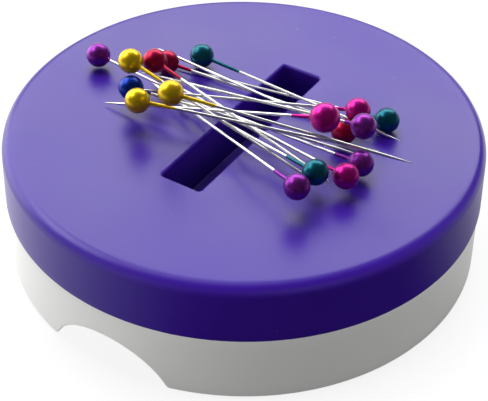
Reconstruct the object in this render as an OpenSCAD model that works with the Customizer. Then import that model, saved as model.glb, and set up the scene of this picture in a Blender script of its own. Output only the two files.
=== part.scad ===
// Magnetic pin holder with a finger well, and the pearl-headed pins that lie on it.
// Millimetres. +Z is up and the origin is on the table under the middle of the base.
// The finger well runs along Y, and an arch for a finger is cut in the base at each end of it.

/* [Cap] */
// Diameter of the cap at its lower lip
cap_d = 100; // [96:0.5:112]
// Height of the flat top above the table
top_z = 28.5; // [28:0.1:34]
// How far the cap's side leans in from its lip to its rim
cap_draft = 0.25; // [0:0.05:1]
// Radius of the rounded rim
rim_r = 2.5; // [1:0.1:4]
// Thickness of the cap's side wall
cap_wall = 2.2; // [1.6:0.1:3]
// Thickness of the cap's top
cap_top = 2.4; // [1.8:0.1:3]

/* [Finger well] */
// Length of the well at its walls
well_l = 46.2; // [30:0.2:50]
// Width of the well at its walls
well_w = 9.2; // [7:0.1:10]
// Depth of the well below the top
well_depth = 11; // [6:0.5:12]
// Radius of the well's upright corners
well_corner_r = 0.6; // [0.4:0.1:3]
// Radius of the soft edge around the mouth of the well
well_edge_r = 0.6; // [0.4:0.1:2]
// Thickness of the well's walls and floor
well_wall = 1.6; // [1:0.1:2]

/* [Base] */
// Height of the seam between the cap and the base
seam_z = 15.5; // [14.5:0.1:16.5]
// Height of the base's lower edge above the table
base_lift = 0.5; // [0.3:0.1:1]
// Step from the cap's lip in to the base at the seam
seam_step = 0.4; // [0.2:0.05:1]
// How far the base's side spreads from the seam to its lower edge
base_flare = 0.2; // [0:0.05:0.35]
// Thickness of the base's side wall
base_wall = 2.2; // [1.6:0.1:3]
// Height of the underside of the deck above the table
deck_z = 10.4; // [10:0.1:10.8]
// Thickness of the deck
deck_t = 2; // [1.6:0.1:2.2]
// Height of the tongue that stands inside the cap
tongue_h = 4; // [2:0.5:6]

/* [Finger arches] */
// Radius of the arch in the base's lower edge
arch_r = 14.8; // [12:0.1:15]
// Height of the top of the arch above the table
arch_h = 9; // [6:0.1:9.2]
// Radius where the arch turns into the lower edge
arch_foot_r = 1; // [0.5:0.1:1.5]

/* [Magnets and keeper] */
// Magnet size across the well
magnet_w = 25; // [18:0.5:25]
// Magnet size along the well
magnet_l = 40; // [30:0.5:40]
// Magnet thickness
magnet_t = 6; // [4:0.5:6]
// Distance from the middle of the well to each magnet
magnet_x = 8; // [7.8:0.1:9]
// Thickness of the adhesive pad over each magnet
pad_t = 0.5; // [0.3:0.1:0.8]
// Thickness of the steel keeper plate
keeper_t = 1.2; // [0.8:0.1:1.5]

/* [Screws and feet] */
// Radius of a screw's shank, which is also the radius of its pilot hole
screw_r = 1.25; // [1:0.05:1.5]
// Radius of a screw's head
screw_head_r = 2.6; // [2.2:0.1:3]
// Length of a screw under its head
screw_l = 12; // [8:0.5:12]
// Bearing of the screws from the line across the well, in degrees
screw_turn = 46.5; // [45:0.5:50]
// Radius of a rubber foot
foot_r = 4; // [3:0.1:5]
// Height of a rubber foot
foot_h = 2.5; // [2:0.1:3]
// Thickness of the socket wall around a foot
socket_wall = 1.6; // [1.2:0.1:2]
// Bearing of the feet from the line across the well, in degrees
foot_turn = 29.7; // [20:0.1:30]

/* [Pins] */
// Length of a pin from the middle of its head to its point
pin_l = 50; // [48:0.1:50]
// Diameter of the steel wire
wire_d = 0.6; // [0.5:0.01:0.6]
// Diameter of a pearl head
head_d = 5.2; // [4:0.05:5.2]
// Diameter of the one large pearl head
big_head_d = 6; // [4:0.05:6]
// Length of the drawn point
point_l = 4; // [2:0.1:6]

/* [Clearances] */
// Gap that shows as the dark line between cap and base
seam_gap = 0.15; // [0.1:0.05:0.3]
// Gap between the tongue and the cap's wall
tongue_gap = 0.2; // [0.1:0.05:0.4]
// Gap around each magnet between the ribs that locate it
magnet_gap = 0.2; // [0.1:0.05:0.4]
// Gap between the keeper plate and the well's walls
keeper_gap = 0.8; // [0.4:0.1:1]
// Gap around a screw where it passes the deck
screw_gap = 0.3; // [0.1:0.05:0.5]
// Gap for the glue between a head and its wire
glue_gap = 0.02; // [0.01:0.01:0.05]
// Gap between a screw boss and the tongue
boss_gap = 0.9; // [0.3:0.1:1.5]
// Gap between a foot socket and the base's side wall
socket_gap = 1.5; // [0.5:0.1:3]

/* [Hidden] */
$fn = 96;
cut = 0.5;
cap_r = cap_d / 2;
rim_side_r = cap_r - cap_draft;
cap_inner_r = cap_r - cap_wall - cap_draft;
ceiling_z = top_z - cap_top;
well_floor_z = top_z - well_depth;
well_under_z = well_floor_z - well_wall;
base_top_r = cap_r - seam_step;
base_foot_r = base_top_r + base_flare;
base_inner_r = base_top_r - base_wall;
shoulder_z = seam_z - seam_gap;
tongue_r = cap_inner_r - tongue_gap;
tongue_t = 1.6;
tongue_top_z = seam_z + tongue_h;
deck_top_z = deck_z + deck_t;
arch_z = arch_h - arch_r;
arch_span_r = arch_r + arch_foot_r;
arch_sag = base_inner_r - sqrt(base_inner_r * base_inner_r - arch_span_r * arch_span_r);
arch_reach = 2 * (cap_r - base_inner_r + arch_sag + cut);
arch_foot_flats = 5;
pad_z = ceiling_z - pad_t;
magnet_z = pad_z - magnet_t;
keeper_z = magnet_z - keeper_t;
rib_t = 1.2;
rib_h = 4;
boss_r = 3.5;
screw_circle_r = tongue_r - tongue_t - boss_r - boss_gap;
screw_x = screw_circle_r * cos(screw_turn);
screw_y = screw_circle_r * sin(screw_turn);
post_r = 3;
post_x = 24;
post_y = 13;
keeper_margin = 1;
keeper_bridge = 4;
keeper_neck = 12;
socket_r = foot_r + socket_wall;
socket_lift = 1.2;
foot_circle_r = base_inner_r - socket_r - socket_gap;
foot_x = foot_circle_r * cos(foot_turn);
foot_y = foot_circle_r * sin(foot_turn);
pad_inset = 1;
sides = [-1, 1];
corners = [[1, 1], [-1, 1], [-1, -1], [1, -1]];

purple = [0.42, 0.34, 0.72];
violet = [0.49, 0.13, 0.55];
yellow = [0.84, 0.67, 0.07];
crimson = [0.69, 0.05, 0.22];
teal = [0.02, 0.40, 0.42];
blue = [0.05, 0.18, 0.62];
magenta = [0.80, 0.06, 0.52];

// One row for each pin: x and y of the head's middle, its height above the top, the heading of the
// point seen from the head, how many degrees the wire dips towards the point, colour, head diameter.
pins = [
    [-37.5, 0, 3.2, -4.5, 1.3, violet, head_d],
    [-24.5, -5.5, 9.5, -6.5, 8.5, yellow, head_d],
    [-22, -0.5, 7.7, -12, 4.7, crimson, head_d],
    [-24, 6.5, 2.7, 5.5, 2.6, crimson, head_d],
    [-19, 12.5, 2.9, -2.5, 1.2, teal, head_d],
    [-22, -9, 5.8, 11, 3.2, blue, head_d],
    [-17, -13.5, 7.2, 16.5, 1.9, yellow, head_d],
    [-9, -13, 11.9, 12, 3.9, yellow, head_d],
    [20, -2.5, 11.2, -170.5, 12.3, magenta, big_head_d],
    [21, 9.5, 6.1, -161.5, 4.2, magenta, head_d],
    [20.5, 5, 3.4, 174, 1.2, crimson, head_d],
    [26, 2.5, 8.5, -173.5, 3.2, violet, head_d],
    [25.5, 14, 2.7, -174, 2.7, teal, head_d],
    [28.5, -2.5, 3.6, 176.5, 3.7, violet, head_d],
    [28.5, -8.5, 4.5, 169, 2.5, magenta, head_d],
    [24, -12.5, 6.1, 164.5, 6.2, teal, head_d],
    [23.5, -18.5, 6.4, 158.5, 5.7, violet, head_d],
];

function two_digits(k) = str(k < 10 ? "0" : "", k);
function foot_name(k) = str("foot_", k);
function shaft_name(k) = str("pin_", two_digits(k), "_shaft");
function head_name(k) = str("pin_", two_digits(k), "_head");

// Upright block with round corners, centred on Z, standing on z
module round_block(w, l, r, z, h) {
    translate([0, 0, z]) {
        translate([-w / 2 + r, -l / 2, 0]) cube([w - 2 * r, l, h]);
        translate([-w / 2, -l / 2 + r, 0]) cube([w, l - 2 * r, h]);
        for (c = corners)
            translate([c[0] * (w / 2 - r), c[1] * (l / 2 - r), 0]) cylinder(r = r, h = h);
    }
}

// Round bar of radius r along X or Y, used to soften the mouth of the well
module edge_bar(r, l, along_x) {
    rotate(along_x ? [0, 90, 0] : [90, 0, 0]) cylinder(r = r, h = l, center = true);
}

// What the soft edge takes away around the mouth of the well
module well_mouth() {
    e = well_edge_r;
    z = top_z - e;
    turn_x = well_w / 2 - well_corner_r;
    turn_y = well_l / 2 - well_corner_r;
    difference() {
        round_block(well_w + 2 * e, well_l + 2 * e, well_corner_r + e, z, e + cut);
        for (s = sides) {
            translate([s * (well_w / 2 + e), 0, z]) edge_bar(e, 2 * turn_y, false);
            translate([0, s * (well_l / 2 + e), z]) edge_bar(e, 2 * turn_x, true);
        }
        for (c = corners)
            translate([c[0] * turn_x, c[1] * turn_y, z]) rotate([0, 0, corner_turn(c)])
                rotate_extrude(angle = 90) translate([well_corner_r + e, 0]) circle(r = e);
    }
}
function corner_turn(c) = c[1] > 0 ? (c[0] > 0 ? 0 : 90) : (c[0] > 0 ? 270 : 180);

// Half section of the cap's outside, turned about Z
module cap_blank() {
    rotate_extrude() {
        translate([rim_side_r - rim_r, top_z - rim_r]) intersection() {
            circle(r = rim_r);
            square(rim_r);
        }
        polygon([[0, seam_z], [cap_r, seam_z], [rim_side_r, top_z - rim_r], [0, top_z - rim_r]]);
        translate([0, top_z - rim_r]) square([rim_side_r - rim_r, rim_r]);
    }
}

// Low ribs that keep a magnet in place under the cap
module magnet_ribs(s) {
    w = magnet_w + 2 * magnet_gap;
    l = magnet_l + 2 * magnet_gap;
    translate([s * (magnet_x + magnet_w / 2), 0, ceiling_z - rib_h]) {
        translate([s * w / 2 - (s > 0 ? 0 : rib_t), -l / 2 - rib_t, 0])
            cube([rib_t, l + 2 * rib_t, rib_h + cut]);
        for (e = sides)
            translate([-w / 2, e * l / 2 - (e > 0 ? 0 : rib_t), 0]) cube([w, rib_t, rib_h + cut]);
    }
}

// Purple cap with the finger well, magnet ribs and screw bosses
module top_cap() {
    color(purple) difference() {
        union() {
            difference() {
                cap_blank();
                translate([0, 0, seam_z - cut]) cylinder(r = cap_inner_r, h = ceiling_z - seam_z + cut);
            }
            round_block(well_w + 2 * well_wall, well_l + 2 * well_wall, well_corner_r + well_wall,
                well_under_z, ceiling_z - well_under_z + cut);
            for (c = corners)
                translate([c[0] * screw_x, c[1] * screw_y, deck_top_z])
                    cylinder(r = boss_r, h = ceiling_z - deck_top_z + cut);
            for (s = sides) magnet_ribs(s);
        }
        round_block(well_w, well_l, well_corner_r, well_floor_z, well_depth + cut);
        well_mouth();
        for (c = corners)
            translate([c[0] * screw_x, c[1] * screw_y, deck_top_z - cut])
                cylinder(r = screw_r, h = screw_l - deck_t + cut);
    }
}

// What one arch takes out of the base's edge, its lower corners rounded in short flats
module arch_cutter() {
    turn_z = base_lift + arch_foot_r;
    turn_x = sqrt(arch_span_r * arch_span_r - (turn_z - arch_z) * (turn_z - arch_z));
    touch_angle = 180 + atan2(turn_z - arch_z, turn_x);
    inside_x = turn_x - 2 * arch_foot_r;
    round_points = [for (k = [0:arch_foot_flats])
        let (a = 270 + (touch_angle - 270) * k / arch_foot_flats)
        [turn_x + arch_foot_r * cos(a), turn_z + arch_foot_r * sin(a)]];
    rotate([90, 0, 0]) {
        translate([0, arch_z, -arch_reach / 2]) cylinder(r = arch_r, h = arch_reach);
        for (side = [0, 1]) mirror([side, 0, 0]) translate([0, 0, -arch_reach / 2])
            linear_extrude(height = arch_reach)
                polygon(concat([[inside_x, turn_z], [inside_x, base_lift - cut],
                    [turn_x, base_lift - cut]], round_points));
    }
}

// White ring with its deck, tongue, keeper posts and foot sockets
module base_shell() {
    color("white") difference() {
        union() {
            rotate_extrude() {
                polygon([[0, deck_z], [base_inner_r, deck_z], [base_inner_r, base_lift],
                    [base_foot_r, base_lift], [base_top_r, shoulder_z], [tongue_r, shoulder_z],
                    [tongue_r, tongue_top_z], [tongue_r - tongue_t, tongue_top_z],
                    [tongue_r - tongue_t, deck_top_z], [0, deck_top_z]]);
            }
            for (c = corners) {
                translate([c[0] * post_x, c[1] * post_y, deck_top_z - cut])
                    cylinder(r = post_r, h = keeper_z - deck_top_z + cut);
                translate([c[0] * foot_x, c[1] * foot_y, socket_lift])
                    cylinder(r = socket_r, h = deck_z - socket_lift + cut);
            }
        }
        for (s = sides)
            translate([0, s * cap_r, 0]) arch_cutter();
        for (c = corners) {
            translate([c[0] * screw_x, c[1] * screw_y, deck_z - cut])
                cylinder(r = screw_r + screw_gap, h = deck_t + 2 * cut);
            translate([c[0] * foot_x, c[1] * foot_y, socket_lift - cut])
                cylinder(r = foot_r, h = foot_h - socket_lift + cut);
        }
    }
}

// Block magnet at one side of the well
module magnet(s) {
    color("dimgray") translate([s * (magnet_x + magnet_w / 2), 0, magnet_z + magnet_t / 2])
        cube([magnet_w, magnet_l, magnet_t], center = true);
}

// Adhesive foam pad between a magnet and the cap
module magnet_pad(s) {
    color("gainsboro") translate([s * (magnet_x + magnet_w / 2), 0, pad_z + pad_t / 2])
        cube([magnet_w - 2 * pad_inset, magnet_l - 2 * pad_inset, pad_t], center = true);
}

// Steel plate under both magnets, bridged past both ends of the well
module keeper_plate() {
    plate_r = 2;
    reach_x = magnet_x + magnet_w + keeper_margin;
    window_w = well_w + 2 * well_wall + 2 * keeper_gap;
    window_l = well_l + 2 * well_wall + 2 * keeper_gap;
    color("silver") difference() {
        union() {
            round_block(2 * reach_x, magnet_l, plate_r, keeper_z, keeper_t);
            round_block(2 * keeper_neck, window_l + 2 * keeper_bridge, plate_r, keeper_z, keeper_t);
        }
        round_block(window_w, window_l, well_corner_r + well_wall, keeper_z - cut, keeper_t + 2 * cut);
    }
}

// Pan-head screw with a cross recess, driven up through the deck
module case_screw() {
    head_h = 1.8;
    slot_w = 0.8;
    slot_l = 2.6;
    slot_h = 0.9;
    translate([0, 0, deck_z]) difference() {
        union() {
            cylinder(r = screw_r, h = screw_l - screw_r);
            translate([0, 0, screw_l - screw_r]) cylinder(r1 = screw_r, r2 = screw_r / 4, h = screw_r);
            translate([0, 0, -head_h / 2]) cylinder(r = screw_head_r, h = head_h / 2);
            translate([0, 0, -head_h])
                cylinder(r1 = screw_head_r - head_h / 2, r2 = screw_head_r, h = head_h / 2);
        }
        for (turn = [0, 90]) rotate([0, 0, turn])
            translate([0, 0, -head_h]) cube([slot_l, slot_w, 2 * slot_h], center = true);
    }
}

module case_screws() {
    color("silver") for (c = corners) translate([c[0] * screw_x, c[1] * screw_y, 0]) case_screw();
}

// Rubber foot in its socket, standing on the table
module foot(k) {
    c = corners[k - 1];
    color("dimgray") translate([c[0] * foot_x, c[1] * foot_y, 0]) cylinder(r = foot_r, h = foot_h);
}

// Puts a pin's own frame, head at the origin and point along +X, where the pin lies
module place_pin(p) {
    translate([p[0], p[1], top_z + p[2]]) rotate([0, p[4], p[3]]) children();
}

// Steel wire from its seat in the head to the drawn point
module pin_shaft(p) {
    wire_r = wire_d / 2;
    seat = p[6] / 4;
    color("silver") place_pin(p) rotate([0, 90, 0]) {
        translate([0, 0, -seat]) cylinder(r = wire_r, h = seat + pin_l - point_l);
        translate([0, 0, pin_l - point_l]) cylinder(r1 = wire_r, r2 = wire_r / 10, h = point_l);
    }
}

// Pearl head with its blind hole for the wire
module pin_head(p) {
    seat = p[6] / 4;
    color(p[5]) place_pin(p) rotate([0, 90, 0]) difference() {
        sphere(d = p[6]);
        translate([0, 0, -seat - glue_gap]) cylinder(d = wire_d + 2 * glue_gap, h = seat + p[6]);
    }
}

top_cap();
base_shell();
magnet(-1);  // magnet_left
magnet(1);  // magnet_right
magnet_pad(-1);  // magnet_pad_left
magnet_pad(1);  // magnet_pad_right
keeper_plate();
case_screws();
for (k = [1:4])
    foot(k);
for (k = [1:len(pins)]) {
    pin_shaft(pins[k - 1]);
    pin_head(pins[k - 1]);
}
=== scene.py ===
"""Looks of a magnetic pin holder: a purple cap with a finger well, a white base and the pins lying on top.

Lengths in the classes are millimetres in the part's own frame, with +Z up from the table and the finger
well along Y. Every mesh is written in metres, with its place in its vertices.
"""

import logging
import math
from dataclasses import dataclass, field
from enum import Enum
from typing import Iterable, Sequence

import bpy
import numpy as np
from mathutils import Matrix, Vector
from mathutils.geometry import delaunay_2d_cdt


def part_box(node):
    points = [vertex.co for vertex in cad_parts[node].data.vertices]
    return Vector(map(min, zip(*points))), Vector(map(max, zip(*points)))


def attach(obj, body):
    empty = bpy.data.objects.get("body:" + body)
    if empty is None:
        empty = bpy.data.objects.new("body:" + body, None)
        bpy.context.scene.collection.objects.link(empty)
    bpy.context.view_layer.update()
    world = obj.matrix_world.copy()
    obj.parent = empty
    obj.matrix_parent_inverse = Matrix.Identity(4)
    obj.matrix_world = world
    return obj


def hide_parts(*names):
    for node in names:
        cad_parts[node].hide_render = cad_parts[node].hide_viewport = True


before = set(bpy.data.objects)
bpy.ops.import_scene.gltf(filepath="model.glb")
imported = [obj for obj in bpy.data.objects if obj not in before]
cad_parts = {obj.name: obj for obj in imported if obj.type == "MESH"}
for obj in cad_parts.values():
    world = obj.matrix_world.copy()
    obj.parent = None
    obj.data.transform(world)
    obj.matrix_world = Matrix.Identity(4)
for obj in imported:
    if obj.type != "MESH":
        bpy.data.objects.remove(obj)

MM = 0.001
BOWL = "bowl"
TURN = 2 * math.pi
LOG = logging.getLogger("pin_holder")
Colour = tuple[float, float, float]
Place = tuple[float, float]
Loop = tuple[np.ndarray, np.ndarray]


# Surfaces worked out as whole arrays


@dataclass
class Shell:
    """A closed surface: points in millimetres, four- and three-sided faces, and what its finish reads.

    Args:
        points: One row of x, y and z for each point.
        quads: Point numbers of the four-sided faces.
        tris: Point numbers of the three-sided faces.
        quad_uv: For each corner of each quad, its place around and along the profile, in millimetres.
        tri_uv: The same for the three-sided faces.
        edge: For each point, 1 on a rounded edge and 0 elsewhere.
    """

    points: np.ndarray
    quads: np.ndarray
    tris: np.ndarray
    quad_uv: np.ndarray
    tri_uv: np.ndarray
    edge: np.ndarray

    def volume(self) -> float:
        """Signed volume: a sixth of the sum of a . (b x c) over the triangles.

        Returns:
            The volume, negative where the faces point inwards.
        """
        t = np.concatenate([self.quads[:, [0, 1, 2]], self.quads[:, [0, 2, 3]], self.tris])
        a, b, c = self.points[t[:, 0]], self.points[t[:, 1]], self.points[t[:, 2]]
        return float(np.einsum("ij,ij->", a, np.cross(b, c)) / 6)

    def outward(self) -> "Shell":
        """The same shell with its faces turned to point out of the solid.

        Returns:
            The shell itself.
        """
        if self.volume() < 0:
            self.quads, self.quad_uv = self.quads[:, ::-1], self.quad_uv[:, ::-1]
            self.tris, self.tri_uv = self.tris[:, ::-1], self.tri_uv[:, ::-1]
        return self

    def moved(self, x: float = 0.0, y: float = 0.0) -> "Shell":
        """A copy of the shell, shifted over the table."""
        return Shell(self.points + (x, y, 0), self.quads, self.tris, self.quad_uv, self.tri_uv, self.edge)

    def corners(self, place: Place) -> list["Shell"]:
        """A copy of the shell in each of the four quarters, at plus and minus x and y of the place."""
        return [self.moved(sx * place[0], sy * place[1]) for sx, sy in ((1, 1), (-1, 1), (-1, -1), (1, -1))]

    @staticmethod
    def joined(shells: Sequence["Shell"]) -> "Shell":
        """Several closed shells as the surface of one piece.

        Args:
            shells: The shells, each closed in itself.

        Returns:
            One shell with all their points and faces.
        """
        first = np.cumsum([0] + [len(s.points) for s in shells[:-1]])
        return Shell(
            np.concatenate([s.points for s in shells]),
            np.concatenate([s.quads + k for s, k in zip(shells, first)]),
            np.concatenate([s.tris + k for s, k in zip(shells, first)]),
            np.concatenate([s.quad_uv for s in shells]),
            np.concatenate([s.tri_uv for s in shells]),
            np.concatenate([s.edge for s in shells]),
        )


def compass(columns: int) -> np.ndarray:
    """Unit vectors at even bearings, columns x 2."""
    a = TURN * np.arange(columns) / columns
    return np.stack([np.cos(a), np.sin(a)], -1)


def bend(r: float, steps: int, start: float = 0.0, stop: float = 90.0) -> tuple[np.ndarray, np.ndarray]:
    """Across and along values of an arc: r cos t and r sin t, for t from start to stop in degrees."""
    t = np.radians(np.linspace(start, stop, steps + 1))
    return r * np.cos(t), r * np.sin(t)


def level(plane: np.ndarray, z: np.ndarray | float) -> np.ndarray:
    """Gives rows of x and y their heights.

    Args:
        plane: Points as rows x columns x 2.
        z: One height for each row, or one for all.

    Returns:
        Points as rows x columns x 3.
    """
    heights = np.broadcast_to(np.atleast_1d(np.asarray(z, float)), (len(plane),))
    return np.concatenate([plane, np.broadcast_to(heights[:, None, None], (*plane.shape[:2], 1))], -1)


def grid(rows: int, columns: int, ring: bool = False) -> np.ndarray:
    """Faces over a grid of numbered points: (i, j), (i, j+1), (i+1, j+1), (i+1, j).

    Args:
        rows: Number of rows.
        columns: Number of columns, which close on themselves.
        ring: True where the rows close on themselves too.

    Returns:
        Point numbers, faces x 4.
    """
    i, j = np.arange(rows if ring else rows - 1)[:, None] * columns, np.arange(columns)
    down, on = (i + columns) % (rows * columns), (j + 1) % columns
    return np.stack([i + j, i + on, down + on, down + j], -1).reshape(-1, 4)


def skin(rows: np.ndarray, poles: Sequence[Sequence[float]] = (), edge: np.ndarray | None = None) -> Shell:
    """Faces over a grid of points whose columns run round and close on themselves.

    Args:
        rows: Points as rows x columns x 3, in millimetres.
        poles: Two points that close the first and the last row as fans. Without them the rows close on
            themselves, as on a ring.
        edge: One value for each row, 1 where the row lies on a rounded edge.

    Returns:
        The closed shell, its faces outward.
    """
    n, m = rows.shape[:2]
    j = np.arange(m)
    wrapped = rows if len(poles) else np.concatenate([rows, rows[:1]])
    run = np.concatenate([[0.0], np.cumsum(np.linalg.norm(np.diff(wrapped, axis=0), axis=2).mean(1))])
    girth = np.linalg.norm(np.roll(rows, -1, 1) - rows, axis=2).sum(1).max()
    u = np.arange(m + 1) / m * girth
    u0, v0 = np.broadcast_arrays(u[:-1], run[:-1, None])
    u1, v1 = np.broadcast_arrays(u[1:], run[1:, None])
    quad_uv = np.stack([u0, v0, u1, v0, u1, v1, u0, v1], -1).reshape(-1, 4, 2)
    tris, tri_uv = [np.zeros((0, 3), int)], [np.zeros((0, 3, 2))]
    for k, row in enumerate((0, n - 1)[:len(poles)]):
        ends = np.stack([j, j + 1] if row else [j + 1, j], -1)
        tris.append(np.column_stack([np.full(m, n * m + k), row * m + ends % m]))
        around = np.column_stack([j + 0.5, ends]) / m * girth
        tri_uv.append(np.stack([around, np.full((m, 3), run[row])], -1))
    marks = np.concatenate([np.repeat(np.zeros(n) if edge is None else edge, m), np.zeros(len(poles))])
    points = np.concatenate([rows.reshape(-1, 3), np.reshape(poles, (-1, 3))])
    return Shell(points, grid(n, m, not len(poles)), np.concatenate(tris), quad_uv, np.concatenate(tri_uv),
                 marks).outward()


def spun(profile: np.ndarray, columns: int, edge: np.ndarray | None = None) -> Shell:
    """Surface of revolution about Z: point (r, z) of the profile goes to (r cos a, r sin a, z) for every a.

    Args:
        profile: Rows of radius and height, the first and last on the axis.
        columns: Number of steps round the axis.
        edge: One value for each row of the profile, 1 on a rounded edge.

    Returns:
        The closed shell.
    """
    rows = level(profile[1:-1, :1, None] * compass(columns), profile[1:-1, 1])
    return skin(rows, [(0, 0, profile[0, 1]), (0, 0, profile[-1, 1])], None if edge is None else edge[1:-1])


def flare(r: float, root: float, face: float) -> list[list[float]]:
    """Profile rows of the hollow fillet by which a post of radius r widens as it rises to a face."""
    across, up = bend(root, 4, 180, 90)
    return np.stack([r + root + across, face - root + up], -1).tolist()


def along_wire(profile: np.ndarray, head: np.ndarray, way: np.ndarray, columns: int,
               edge: np.ndarray | None = None) -> Shell:
    """Surface of revolution about a wire: (r, t) goes to head + t way + r (cos a side + sin a up).

    Args:
        profile: Rows of radius and distance along the wire, the first and last on its axis.
        head: Middle of the pin's head, where t is 0.
        way: Unit direction from the head to the point.
        columns: Number of steps round the wire.
        edge: One value for each row of the profile.

    Returns:
        The closed shell.
    """
    side = np.cross(way, (0, 0, 1.0))
    side /= np.linalg.norm(side)
    shell = spun(profile, columns, edge)
    shell.points = shell.points @ np.stack([side, np.cross(side, way), way]) + head
    return shell.outward()


@dataclass(frozen=True)
class RoundedOutline:
    """Rectangle with round corners, centred on the origin, that can be moved in or out along its normal.

    Every point is an anchor on the inner rectangle of corner centres, plus the corner radius and the
    offset along the outline's normal there.
    """

    half_x: float
    half_y: float
    corner: float
    corner_steps: int
    side_steps_x: int
    side_steps_y: int

    def anchors(self) -> Loop:
        """Anchor points and unit normals, anticlockwise from the lower end of the +X side.

        Returns:
            The anchor points and the normals, each columns x 2.
        """
        cx, cy = self.half_x - self.corner, self.half_y - self.corner
        ends = np.array([[cx, -cy], [cx, cy], [-cx, cy], [-cx, -cy]])
        places, normals = [], []
        for k in range(4):
            start, stop = ends[k], ends[(k + 1) % 4]
            steps = self.side_steps_x if k % 2 else self.side_steps_y
            t = np.arange(1, steps)[:, None] / steps
            facing = math.radians(90 * k)
            places.append(start + (stop - start) * t)
            normals.append(np.tile([math.cos(facing), math.sin(facing)], (steps - 1, 1)))
            a = facing + np.radians(np.linspace(0, 90, self.corner_steps + 1))
            places.append(np.tile(stop, (len(a), 1)))
            normals.append(np.stack([np.cos(a), np.sin(a)], -1))
        return np.concatenate(places), np.concatenate(normals)

    def at(self, out: np.ndarray | float) -> np.ndarray:
        """The outline at one or more offsets.

        Args:
            out: How far outwards, in millimetres, one value or an array of them.

        Returns:
            Points as offsets x columns x 2.
        """
        anchor, normal = self.anchors()
        reach = self.corner + np.atleast_1d(np.asarray(out, float))
        return anchor[None] + reach[:, None, None] * normal[None]


def soft_wall(bottom: float, top: float, r: float, steps: int) -> tuple[np.ndarray, np.ndarray]:
    """Offset and height of an upright wall whose two edges are rounded.

    Args:
        bottom: Height of its foot.
        top: Height of its head.
        r: Radius of both edges.
        steps: Steps along each edge.

    Returns:
        The two arrays, from the foot up.
    """
    across, along = bend(r, steps)
    return (np.concatenate([across[::-1] - r, across - r]),
            np.concatenate([bottom + r - along[::-1], top - r + along]))


@dataclass(frozen=True)
class SoftBlock:
    """Upright block with round corners in plan and a rounded edge at its top and bottom."""

    outline: RoundedOutline
    bottom: float
    top: float
    edge_r: float

    def shell(self) -> Shell:
        """Carries the soft wall round the outline, and closes it with flat rings that shrink to poles.

        Returns:
            The closed shell.
        """
        out, z = soft_wall(self.bottom, self.top, self.edge_r, 5)
        wall = level(self.outline.at(out), z)
        shrink = np.array([0.35, 0.7])[:, None, None]
        rows = np.concatenate([level(wall[:1, :, :2] * shrink, self.bottom), wall,
                               level(wall[-1:, :, :2] * shrink[::-1], self.top)])
        return skin(rows, [(0, 0, self.bottom), (0, 0, self.top)], np.pad(np.ones(len(out)), 2))


def inside(points: np.ndarray, loop: np.ndarray) -> np.ndarray:
    """Even-odd test: a point is inside where a ray along +X crosses the loop an odd number of times.

    Args:
        points: Points to test, n x 2.
        loop: Corners of the closed loop, m x 2.

    Returns:
        One truth value for each point.
    """
    a, b = loop, np.roll(loop, -1, 0)
    x, y = points[:, :1], points[:, 1:]
    spans = (a[:, 1] > y) != (b[:, 1] > y)
    rise = np.where(b[:, 1] == a[:, 1], 1e-12, b[:, 1] - a[:, 1])
    crossing = a[:, 0] + (y - a[:, 1]) / rise * (b[:, 0] - a[:, 0])
    return (spans & (x < crossing)).sum(1) % 2 == 1


@dataclass(frozen=True)
class CutPlate:
    """Flat plate with an outer loop and holes, its rims broken by a small rounding.

    Each loop is a pair: its corners, anticlockwise round the plate and clockwise round a hole, and its unit
    normals pointing out of the plate's material.
    """

    outer: Loop
    holes: Sequence[Loop]
    bottom: float
    top: float
    edge_r: float

    def shell(self) -> Shell:
        """Each loop's rim is a rounded wall, and its end rings bound the flat top and bottom.

        Returns:
            The closed shell.
        """
        out, z = soft_wall(self.bottom, self.top, self.edge_r, 3)
        walls = [level(corners[None] + out[:, None, None] * normals[None], z)
                 for corners, normals in (self.outer, *self.holes)]
        sizes = [wall.shape[1] for wall in walls]
        base = np.cumsum([0] + [len(out) * m for m in sizes[:-1]])
        points = np.concatenate([wall.reshape(-1, 3) for wall in walls])
        quads = np.concatenate([grid(len(out), m) + b for m, b in zip(sizes, base)])
        low = np.concatenate([np.arange(m) + b for m, b in zip(sizes, base)])
        high = np.concatenate([np.arange(m) + b + (len(out) - 1) * m for m, b in zip(sizes, base)])
        fan = self._flat([points[b:b + m, :2] for m, b in zip(sizes, base)])
        corner = points[low][fan][..., :2]
        turn = np.cross(corner[:, 1] - corner[:, 0], corner[:, 2] - corner[:, 0]) < 0
        fan[turn] = fan[turn][:, ::-1]
        tris = np.concatenate([low[fan][:, ::-1], high[fan]])
        return Shell(points, quads, tris, points[quads][..., :2] + points[quads][..., 2:],
                     points[tris][..., :2], np.ones(len(points)))

    @staticmethod
    def _flat(rings: Sequence[np.ndarray]) -> np.ndarray:
        """Triangles between the outer ring and the holes.

        Args:
            rings: Corners of the outer ring and of each hole.

        Returns:
            Corner numbers of the triangles, counted through all the rings.
        """
        firsts = np.cumsum([0] + [len(ring) for ring in rings[:-1]])
        sides = [np.stack([np.arange(len(ring)), np.roll(np.arange(len(ring)), -1)], -1) + k
                 for ring, k in zip(rings, firsts)]
        made = delaunay_2d_cdt([Vector(p) for p in np.concatenate(rings)], np.concatenate(sides).tolist(),
                               [], 0, 1e-9)
        fan = np.array([f for f in made[2] if len(f) == 3])
        middle = np.array([tuple(v) for v in made[0]])[fan].mean(1)
        keep = inside(middle, rings[0])
        for hole in rings[1:]:
            keep &= ~inside(middle, hole)
        return np.array([origins[0] for origins in made[3]])[fan[keep]]


def ring_hole(r: float, place: Place, steps: int) -> Loop:
    """A round hole for a plate, as its corners and its normals out of the material."""
    normal = compass(steps) * (1, -1)
    return normal * r + place, -normal


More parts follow.
